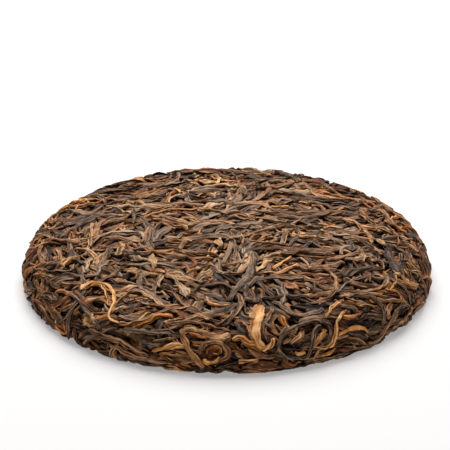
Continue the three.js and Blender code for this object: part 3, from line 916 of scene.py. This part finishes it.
def leaf_mesh(name, leaves, form, shift, relief):
    """One mesh of a kind's leaves, with a strip of its own for each in the UV map."""
    around, rows = FORMS[form].around, FORMS[form].rows
    place, ridge, depth = leaf_vertices(leaves, form, shift, relief)
    count = len(leaves)
    rings = place[:, 1:-1]
    tips = place[:, [0, -1]].mean(2)
    per_leaf = (rows - 2) * around + 2
    points = np.concatenate([rings.reshape(count, -1, 3), tips], 1)
    points[..., 2] = np.maximum(points[..., 2], 0.02)
    ring_index = np.arange((rows - 2) * around).reshape(rows - 2, around)
    after = np.roll(ring_index, -1, 1)
    quads = np.stack([ring_index[:-1], after[:-1], after[1:], ring_index[1:]], -1).reshape(-1, 4)
    first_tip, last_tip = per_leaf - 2, per_leaf - 1
    start = np.stack([after[0], ring_index[0], np.full(around, first_tip)], -1)
    finish = np.stack([ring_index[-1], after[-1], np.full(around, last_tip)], -1)

    offsets = np.arange(count)[:, None, None] * per_leaf
    all_quads = (quads + offsets).reshape(-1)
    all_tris = (np.concatenate([start, finish]) + offsets).reshape(-1)
    mesh = bpy.data.meshes.new(name)
    mesh.vertices.add(count * per_leaf)
    mesh.vertices.foreach_set("co", (points * MM).astype(np.float32).ravel())
    n_quads = count * len(quads)
    n_tris = count * 2 * around
    mesh.loops.add(4 * n_quads + 3 * n_tris)
    mesh.loops.foreach_set("vertex_index", np.concatenate([all_quads, all_tris]).astype(np.int32))
    mesh.polygons.add(n_quads + n_tris)
    starts = np.concatenate([np.arange(n_quads) * 4, 4 * n_quads + np.arange(n_tris) * 3])
    mesh.polygons.foreach_set("loop_start", starts.astype(np.int32))
    mesh.polygons.foreach_set("use_smooth", np.ones(n_quads + n_tris, bool))
    mesh.update(calc_edges=True)

    if form in CREASED_FORMS:
        crease_lengthwise(mesh, around)
    set_strip_uvs(mesh, leaves, around, rows)
    set_leaf_values(mesh, leaves, ridge, depth, around, rows)
    return mesh


def crease_lengthwise(mesh, around):
    """Makes the edges that run along the leaves sharp, as the folds of a dried leaf are."""
    ends = np.empty(2 * len(mesh.edges), np.int32)
    mesh.edges.foreach_get("vertices", ends)
    runs_along = np.abs(ends[::2] - ends[1::2]) == around
    mesh.attributes.new("sharp_edge", "BOOLEAN", "EDGE").data.foreach_set("value", runs_along)


def set_strip_uvs(mesh, leaves, around, rows):
    """Gives each leaf its own cell of the UV square, its length along one side."""
    count = len(leaves)
    columns = max(1, round(math.sqrt(count / 4)))
    lines = math.ceil(count / columns)
    inner = 0.06
    cell_u = np.arange(count) % columns / columns
    cell_v = np.arange(count) // columns / lines

    def spot(u, v):
        return np.stack([
            (cell_u[:, None, None] + (inner + (1 - 2 * inner) * u) / columns),
            (cell_v[:, None, None] + (inner + (1 - 2 * inner) * v) / lines)], -1)

    steps = np.arange(1, rows - 1) / (rows - 1)
    u0, u1 = np.meshgrid(steps[:-1], np.arange(around), indexing="ij")
    step = 1 / (rows - 1)
    v0 = u1 / around
    v1 = (u1 + 1) / around
    quad_u = np.stack([u0, u0, u0 + step, u0 + step], -1).reshape(-1, 4)
    quad_v = np.stack([v0, v1, v1, v0], -1).reshape(-1, 4)
    k = np.arange(around)
    tip_u = np.stack([np.full(around, step), np.full(around, step), np.zeros(around)], -1)
    tip_v = np.stack([(k + 1) / around, k / around, (k + 0.5) / around], -1)
    end_u = np.stack([np.full(around, 1 - step), np.full(around, 1 - step), np.ones(around)], -1)
    end_v = np.stack([k / around, (k + 1) / around, (k + 0.5) / around], -1)
    quads = spot(quad_u[None], quad_v[None])
    tris = spot(np.concatenate([tip_u, end_u])[None], np.concatenate([tip_v, end_v])[None])
    layer = mesh.uv_layers.new(name="OFBake")
    values = np.concatenate([quads.reshape(-1, 2), tris.reshape(-1, 2)]).astype(np.float32)
    layer.data.foreach_set("uv", values.ravel())


def set_leaf_values(mesh, leaves, ridge, depth, around, rows):
    """Stores for the material: tone, warmth, ridges, depth, and places along and round the fibres."""
    count = len(leaves)
    tone, warmth, length, width = (
        np.array([[[leaf[key]]] for leaf in leaves]) for key in ("tone", "warmth", "length", "width"))

    def with_tips(values, tip_values):
        body = np.broadcast_to(values, (count, rows - 2, around)).reshape(count, -1)
        tips = np.broadcast_to(tip_values, (count, 2))
        return np.concatenate([body, tips], 1).astype(np.float32).ravel()

    for name, values in (
        ("tone", with_tips(tone, tone[:, 0])),
        ("warmth", with_tips(warmth, warmth[:, 0])),
        ("ridge", with_tips(ridge[:, 1:-1], 0.5)),
        ("depth", with_tips(depth[:, 1:-1], depth[:, [0, -1]].mean(2))),
    ):
        mesh.attributes.new(name, "FLOAT", "POINT").data.foreach_set("value", values)
    share = np.linspace(0, 1, rows)[1:-1, None]
    start = rng.uniform(0, FIBRE_RANGE, (count, 1, 1))
    along = with_tips(start + share * length, np.concatenate([start, start + length], 1)[..., 0])
    circle = 2 * math.pi * np.arange(around) / around
    side = with_tips(np.cos(circle) * width, 0)
    turn = with_tips(np.sin(circle) * width, 0)
    fibre = np.stack([along, side, turn], 1)
    mesh.attributes.new("fibre", "FLOAT_VECTOR", "POINT").data.foreach_set("vector", fibre.ravel())


def core_mesh():
    """The dark heart of the heap: the cake's form drawn in, with a rough, crumpled surface."""
    around = CORE_AROUND
    profile = even_points(SECTION, CORE_SPACING)
    profile[0, 0] = profile[-1, 0] = 0
    angle = np.linspace(0, 2 * math.pi, around, endpoint=False)
    ring = profile[1:-1]
    radius, height = ring[:, None, 0], np.repeat(ring[:, 1:], around, 1)
    points = np.stack([radius * np.cos(angle), radius * np.sin(angle), height], -1)
    ends = np.array([[0, 0, profile[0, 1]], [0, 0, profile[-1, 1]]])
    points = np.concatenate([points.reshape(-1, 3), ends])
    place, normal = snap(points)
    source = np.random.default_rng(SEED + 2)
    bumps = sum(size * smooth_noise(points, wave, CORE_TERMS, source) for size, wave in CORE_BUMPS)
    points = place - normal * (CORE_DEPTH - bumps)[:, None]
    rings = len(ring)
    index = np.arange(rings * around).reshape(rings, around)
    after = np.roll(index, -1, 1)
    faces = np.stack([index[:-1], after[:-1], after[1:], index[1:]], -1).reshape(-1, 4).tolist()
    low, top = rings * around, rings * around + 1
    faces += [[after[0, k], index[0, k], low] for k in range(around)]
    faces += [[index[-1, k], after[-1, k], top] for k in range(around)]
    mesh = bpy.data.meshes.new("core")
    mesh.from_pydata((points * MM).tolist(), [], faces)
    mesh.polygons.foreach_set("use_smooth", np.ones(len(faces), bool))
    return mesh


def feed(tree, socket, value):
    """Links a socket to a node's output, or sets it to a plain value."""
    if isinstance(value, bpy.types.NodeSocket):
        tree.links.new(value, socket)
    elif socket.type == "RGBA":
        socket.default_value = (*value, 1)
    else:
        socket.default_value = value


def node(tree, kind, **inputs):
    """A shader node with its inputs set or linked by name."""
    made = tree.nodes.new(kind)
    for name, value in inputs.items():
        feed(tree, made.inputs[name.replace("_", " ")], value)
    return made


def attribute(tree, name, output="Fac"):
    """What is stored on the mesh under a name."""
    made = tree.nodes.new("ShaderNodeAttribute")
    made.attribute_name = name
    return made.outputs[output]


def maths(tree, operation, first, second, clamp=False):
    """The result of one operation on two values."""
    made = tree.nodes.new("ShaderNodeMath")
    made.operation = operation
    made.use_clamp = clamp
    for socket, value in zip(made.inputs, (first, second)):
        feed(tree, socket, value)
    return made.outputs[0]


def noise(tree, vector, scale, detail):
    """A noise's value over a vector that is scaled on each axis."""
    scaled = node(tree, "ShaderNodeMapping", Vector=vector, Scale=scale).outputs["Vector"]
    return node(tree, "ShaderNodeTexNoise", Vector=scaled, Scale=1.0, Detail=detail).outputs["Fac"]


def ramp(tree, value, stops):
    """A colour for each value, from a few stops."""
    made = tree.nodes.new("ShaderNodeValToRGB")
    tree.links.new(value, made.inputs["Fac"])
    elements = made.color_ramp.elements
    while len(elements) < len(stops):
        elements.new(0.5)
    for element, (position, colour) in zip(elements, stops):
        element.position = position
        element.color = (*colour, 1)
    return made.outputs["Color"]


def mixed(tree, share, first, second, blend="MIX"):
    """One colour mixed into another."""
    made = tree.nodes.new("ShaderNodeMix")
    made.data_type = "RGBA"
    made.blend_type = blend
    factor, a, b = made.inputs[0], made.inputs[6], made.inputs[7]
    for socket, value in ((factor, share), (a, first), (b, second)):
        feed(tree, socket, value)
    return made.outputs[2]


def leaf_material(name, shades):
    """Dried leaf: streaks along the fibres, pale ridges over dark grooves that are partly painted
    highlight and shade, patches of colour, and painted shade deep in the heap.
    """
    material = bpy.data.materials.new(name)
    material.use_nodes = True
    tree = material.node_tree
    tree.nodes.clear()
    fibre = attribute(tree, "fibre", "Vector")
    tone, ridge, depth, warmth = (
        attribute(tree, name) for name in ("tone", "ridge", "depth", "warmth"))
    streak = noise(tree, fibre, STREAK_SCALE, 3)
    patch = noise(tree, fibre, PATCH_SCALE, 2)
    mottle = noise(tree, fibre, MOTTLE_SCALE, 2)
    value = maths(tree, "MULTIPLY", streak, STREAK_WEIGHT)
    # The ridge value moves the colour up the ramp: grooves and creases darker as partly painted shade,
    # ridges paler as partly painted highlight
    for part, weight in ((ridge, RIDGE_WEIGHT), (tone, TONE_WEIGHT), (mottle, MOTTLE_WEIGHT)):
        value = maths(tree, "ADD", value, maths(tree, "MULTIPLY", part, weight))
    # Painted shade: the deeper a place lies under the heap's top, the further down the ramp its colour
    # goes
    value = maths(tree, "SUBTRACT", value, maths(tree, "MULTIPLY", depth, DEPTH_SHADE_WEIGHT))
    value = maths(tree, "SUBTRACT", value, RAMP_START, clamp=True)
    colour = ramp(tree, value, tuple(zip(RAMP_PLACES, (shades.groove, shades.body, shades.ridge))))
    above = maths(tree, "SUBTRACT", patch, 0.5)
    share = maths(tree, "MULTIPLY", above, PATCH_CONTRAST, clamp=True)
    colour = mixed(tree, maths(tree, "MULTIPLY", share, PATCH_SHARE), colour, shades.patch)
    tint = ramp(tree, warmth, WARMTH_STOPS)
    colour = mixed(tree, 1.0, colour, tint, "MULTIPLY")
    # Painted shade: the colour is mixed toward near-black with the depth in the heap
    deep_shade = maths(tree, "MULTIPLY", depth, DEEP_SHADE_SHARE, clamp=True)
    colour = mixed(tree, deep_shade, colour, DEEP_SHADE_COLOUR)
    grain = noise(tree, fibre, GRAIN_SCALE, 4)
    bump = node(tree, "ShaderNodeBump", Strength=1.0, Distance=GRAIN_DEPTH, Height=grain)
    gloss = node(tree, "ShaderNodeMapRange", Value=streak, To_Min=GLOSS[0], To_Max=GLOSS[1])
    shader = node(tree, "ShaderNodeBsdfPrincipled", Base_Color=colour, Normal=bump.outputs["Normal"])
    tree.links.new(gloss.outputs["Result"], shader.inputs["Roughness"])
    shader.inputs["Specular IOR Level"].default_value = SPECULAR
    output = tree.nodes.new("ShaderNodeOutputMaterial")
    tree.links.new(shader.outputs[0], output.inputs["Surface"])
    return material


def plain_material(name, colour, roughness):
    """A plain surface with a little unevenness."""
    material = bpy.data.materials.new(name)
    material.use_nodes = True
    tree = material.node_tree
    shader = tree.nodes["Principled BSDF"]
    place = tree.nodes.new("ShaderNodeTexCoord").outputs["Object"]
    cloud = node(tree, "ShaderNodeTexNoise", Vector=place, Scale=CORE_GRAIN, Detail=3).outputs["Fac"]
    dark = tuple(0.55 * c for c in colour)
    tree.links.new(ramp(tree, cloud, ((0.35, dark), (0.7, colour))), shader.inputs["Base Color"])
    shader.inputs["Roughness"].default_value = roughness
    return material


# Colours of each kind, as linear light: in the grooves, over the body, on the ridges, in patches; the
# grooves' darker and the ridges' paler colours are partly the leaf's own and partly painted shade and
# highlight
Shades = namedtuple("Shades", "groove body ridge patch")
COLOURS = {
    "dark_strips": Shades(
        (0.012, 0.0044, 0.0021), (0.066, 0.034, 0.021), (0.28, 0.17, 0.11), (0.12, 0.048, 0.018)),
    "grey_strips": Shades(
        (0.017, 0.0074, 0.0034), (0.14, 0.084, 0.049), (0.46, 0.3, 0.2), (0.19, 0.092, 0.034)),
    "brown_strips": Shades(
        (0.016, 0.0059, 0.0021), (0.14, 0.066, 0.029), (0.45, 0.25, 0.13), (0.25, 0.098, 0.029)),
    "russet_strips": Shades(
        (0.018, 0.0059, 0.0021), (0.16, 0.06, 0.022), (0.5, 0.22, 0.095), (0.34, 0.11, 0.027)),
    "tan_strips": Shades(
        (0.036, 0.015, 0.0051), (0.31, 0.17, 0.079), (0.74, 0.48, 0.28), (0.48, 0.2, 0.058)),
    "golden_buds": Shades(
        (0.12, 0.039, 0.0077), (0.53, 0.25, 0.079), (0.9, 0.58, 0.29), (0.62, 0.22, 0.048)),
    "dark_folds": Shades(
        (0.012, 0.0049, 0.003), (0.08, 0.043, 0.027), (0.3, 0.19, 0.12), (0.14, 0.062, 0.026)),
    "tan_folds": Shades(
        (0.038, 0.017, 0.0068), (0.3, 0.17, 0.085), (0.68, 0.46, 0.28), (0.38, 0.17, 0.056)),
    "stems": Shades(
        (0.044, 0.02, 0.0068), (0.3, 0.16, 0.071), (0.66, 0.42, 0.24), (0.4, 0.17, 0.05)),
    "long_dark_leaves": Shades(
        (0.013, 0.0054, 0.0026), (0.1, 0.058, 0.034), (0.38, 0.25, 0.16), (0.15, 0.068, 0.027)),
    "long_brown_leaves": Shades(
        (0.016, 0.0059, 0.0026), (0.16, 0.078, 0.037), (0.48, 0.28, 0.16), (0.26, 0.1, 0.034)),
    "long_tan_leaves": Shades(
        (0.038, 0.017, 0.006), (0.33, 0.18, 0.083), (0.74, 0.48, 0.28), (0.46, 0.2, 0.06)),
    "long_golden_leaves": Shades(
        (0.12, 0.039, 0.0077), (0.58, 0.28, 0.092), (0.92, 0.62, 0.32), (0.62, 0.22, 0.048)),
    "dark_chips": Shades(
        (0.012, 0.0049, 0.003), (0.09, 0.048, 0.029), (0.32, 0.2, 0.12), (0.16, 0.068, 0.026)),
    "tan_chips": Shades(
        (0.042, 0.019, 0.0077), (0.34, 0.2, 0.098), (0.74, 0.5, 0.3), (0.44, 0.2, 0.062)),
    "dark_scraps": Shades(
        (0.0095, 0.0039, 0.0017), (0.072, 0.036, 0.019), (0.28, 0.16, 0.09), (0.14, 0.058, 0.02)),
    "tan_scraps": Shades(
        (0.029, 0.012, 0.0042), (0.26, 0.13, 0.056), (0.62, 0.35, 0.18), (0.38, 0.15, 0.044)),
}

# The near-black colour of painted shade on what lies deep between the leaves
DEEP_SHADE_COLOUR = (0.006, 0.0025, 0.001)

# What the colour is multiplied by from the coolest leaves to the warmest
WARMTH_STOPS = ((0.0, (0.82, 0.88, 1.0)), (0.45, (1.0, 0.97, 0.92)), (1.0, (1.22, 0.92, 0.6)))

# The noises of a leaf: how often each repeats in a millimetre along the fibres and across them
STREAK_SCALE = (0.1, 0.5, 0.5)
PATCH_SCALE = (0.09, 0.12, 0.12)
MOTTLE_SCALE = (0.45, 0.25, 0.25)
GRAIN_SCALE = (0.14, 0.85, 0.85)

# How much each cause moves the colour up the ramp, or down with the depth in the heap as painted shade,
# what is taken off the sum, and where the groove's, the body's and the ridge's colours are on the ramp
STREAK_WEIGHT = 2.6
RIDGE_WEIGHT = 0.75
TONE_WEIGHT = 0.5
MOTTLE_WEIGHT = 1.1
DEPTH_SHADE_WEIGHT = 0.16
RAMP_START = 1.9
RAMP_PLACES = (0.04, 0.5, 0.96)

# How sharply patches of the other colour set in and how strong they are, and how fast painted shade
# darkens a leaf with each millimetre down in the heap
PATCH_CONTRAST = 5.0
PATCH_SHARE = 0.6
DEEP_SHADE_SHARE = 0.3

# The surface of the leaves: the grain's depth in metres, the roughness from the darkest streaks to
# the palest, and the strength of the shine
GRAIN_DEPTH = 0.0006
GLOSS = (0.42, 0.62)
SPECULAR = 0.18

# The core under the leaves: its near-black colour, partly the compressed tea's own and partly painted
# shade in the gaps between the leaves, and how often its cloudy grain repeats in a metre
CORE_SHADE_COLOUR = (0.009, 0.005, 0.003)
CORE_GRAIN = 260.0


def add_piece(name, mesh, material):
    """Adds a mesh as a piece of the cake in place of its CAD solid."""
    mesh.materials.append(material)
    piece = bpy.data.objects.new(name, mesh)
    bpy.context.scene.collection.objects.link(piece)
    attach(piece, BODY)
    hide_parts(NODE)
    return piece


def build_cake():
    """Lays every leaf and makes one piece of each kind."""
    relief = Relief()
    leaves = lay_scattered(relief)
    leaves += lay_marked(relief)
    leaves = not_buried(relief, leaves)
    mean_height = relief.local_mean(EVENNESS_REACH)
    whole_mean = float(relief.height[relief.met].mean())

    def shift(path):
        local = mean_height[relief.cells(path)]
        return PRESSED_TOP - PRESS_EVENNESS * local - (1 - PRESS_EVENNESS) * whole_mean

    for name, kind in KINDS.items():
        own = [leaf for leaf in leaves if leaf["kind"] == name]
        mesh = leaf_mesh(name, own, kind.form, shift, relief)
        add_piece(name, mesh, leaf_material(name, COLOURS[name]))
    # The core's near-black colour is partly painted shade in the gaps between the leaves
    core = plain_material("core", CORE_SHADE_COLOUR, 0.9)
    add_piece("core", core_mesh(), core)


def add_camera():
    """The photograph's view."""
    place, right, up, forward, focal = camera_axes()
    data = bpy.data.cameras.new("camera")
    data.sensor_width = SENSOR_WIDTH
    data.lens = focal / IMAGE_SIZE * SENSOR_WIDTH
    data.clip_end = 20
    camera = bpy.data.objects.new("camera", data)
    turned = Matrix(np.stack([right, up, -forward], 1).tolist()).to_4x4()
    camera.matrix_world = Matrix.Translation((place * MM).tolist()) @ turned
    bpy.context.scene.collection.objects.link(camera)
    bpy.context.scene.camera = camera


# The studio, in metres: half the floor's side, the backdrop's place on it and its height, the grey
# and the glow of both, and the strength of the light from all round
FLOOR_REACH = 4.0
BACKDROP_RADIUS = 0.95 * FLOOR_REACH
BACKDROP_HEIGHT = 1.0
BACKDROP_STEPS = 48
FLOOR_LOOK = (0.64, 0.3)
BACKDROP_LOOK = (0.5, 0.42)
WORLD_STRENGTH = 0.07

# The lights: the place and size in metres, the power in watts, and the colour
Light = namedtuple("Light", "place size power colour")
LIGHTS = {
    "key": Light((-0.05, 0.56, 0.95), (1.2, 1.1), 21.6, (1.0, 0.98, 0.96)),
    "fill": Light((0.3, -0.7, 0.8), (0.5, 0.5), 0.3, (1.0, 0.94, 0.86)),
}


def add_area_light(name, given):
    """A soft light that faces the cake."""
    data = bpy.data.lights.new(name, "AREA")
    data.shape = "RECTANGLE"
    data.size, data.size_y = given.size
    data.energy = given.power
    data.color = given.colour
    light = bpy.data.objects.new(name, data)
    light.location = given.place
    aim = -light.location
    light.rotation_euler = aim.to_track_quat("-Z", "Y").to_euler()
    bpy.context.scene.collection.objects.link(light)


def lit_material(name, grey, glow):
    """A matt pale surface with a soft glow of its own."""
    material = bpy.data.materials.new(name)
    material.use_nodes = True
    shader = material.node_tree.nodes["Principled BSDF"]
    shader.inputs["Base Color"].default_value = (grey, grey, grey, 1)
    shader.inputs["Emission Color"].default_value = (1, 1, 1, 1)
    shader.inputs["Emission Strength"].default_value = glow
    shader.inputs["Roughness"].default_value = 0.9
    shader.inputs["Specular IOR Level"].default_value = 0.0
    return material


def lit_object(name, points, faces, look):
    """An object of the studio from its points and faces."""
    mesh = bpy.data.meshes.new(name)
    mesh.from_pydata(points, [], faces)
    mesh.materials.append(lit_material(name, *look))
    made = bpy.data.objects.new(name, mesh)
    bpy.context.scene.collection.objects.link(made)
    return made


def add_backdrop():
    """A pale screen that stands all round the floor."""
    angle = np.linspace(0, 2 * math.pi, BACKDROP_STEPS, endpoint=False)
    foot = BACKDROP_RADIUS * np.stack([np.cos(angle), np.sin(angle), 0 * angle], 1)
    points = np.concatenate([foot, foot + (0, 0, BACKDROP_HEIGHT)])
    index = np.arange(BACKDROP_STEPS)
    after = np.roll(index, -1)
    faces = np.stack([index, after, after + BACKDROP_STEPS, index + BACKDROP_STEPS], 1)
    backdrop = lit_object("backdrop", points.tolist(), faces.tolist(), BACKDROP_LOOK)


def add_floor():
    """A square floor."""
    corners = [(FLOOR_REACH * x, FLOOR_REACH * y, 0) for x, y in ((-1, -1), (1, -1), (1, 1), (-1, 1))]
    floor = lit_object("floor", corners, [(0, 1, 2, 3)], FLOOR_LOOK)


def add_studio():
    """A white floor and backdrop, soft studio light, and plain colours in the picture."""
    add_floor()
    add_backdrop()
    world = bpy.data.worlds.new("studio")
    world.use_nodes = True
    background = world.node_tree.nodes["Background"]
    background.inputs["Color"].default_value = (1, 1, 1, 1)
    background.inputs["Strength"].default_value = WORLD_STRENGTH
    bpy.context.scene.world = world
    for name, given in LIGHTS.items():
        add_area_light(name, given)
    view = bpy.context.scene.view_settings
    view.view_transform = "Standard"
    view.look = "None"
    view.exposure = 0
    view.gamma = 1


add_camera()
build_cake()
add_studio()
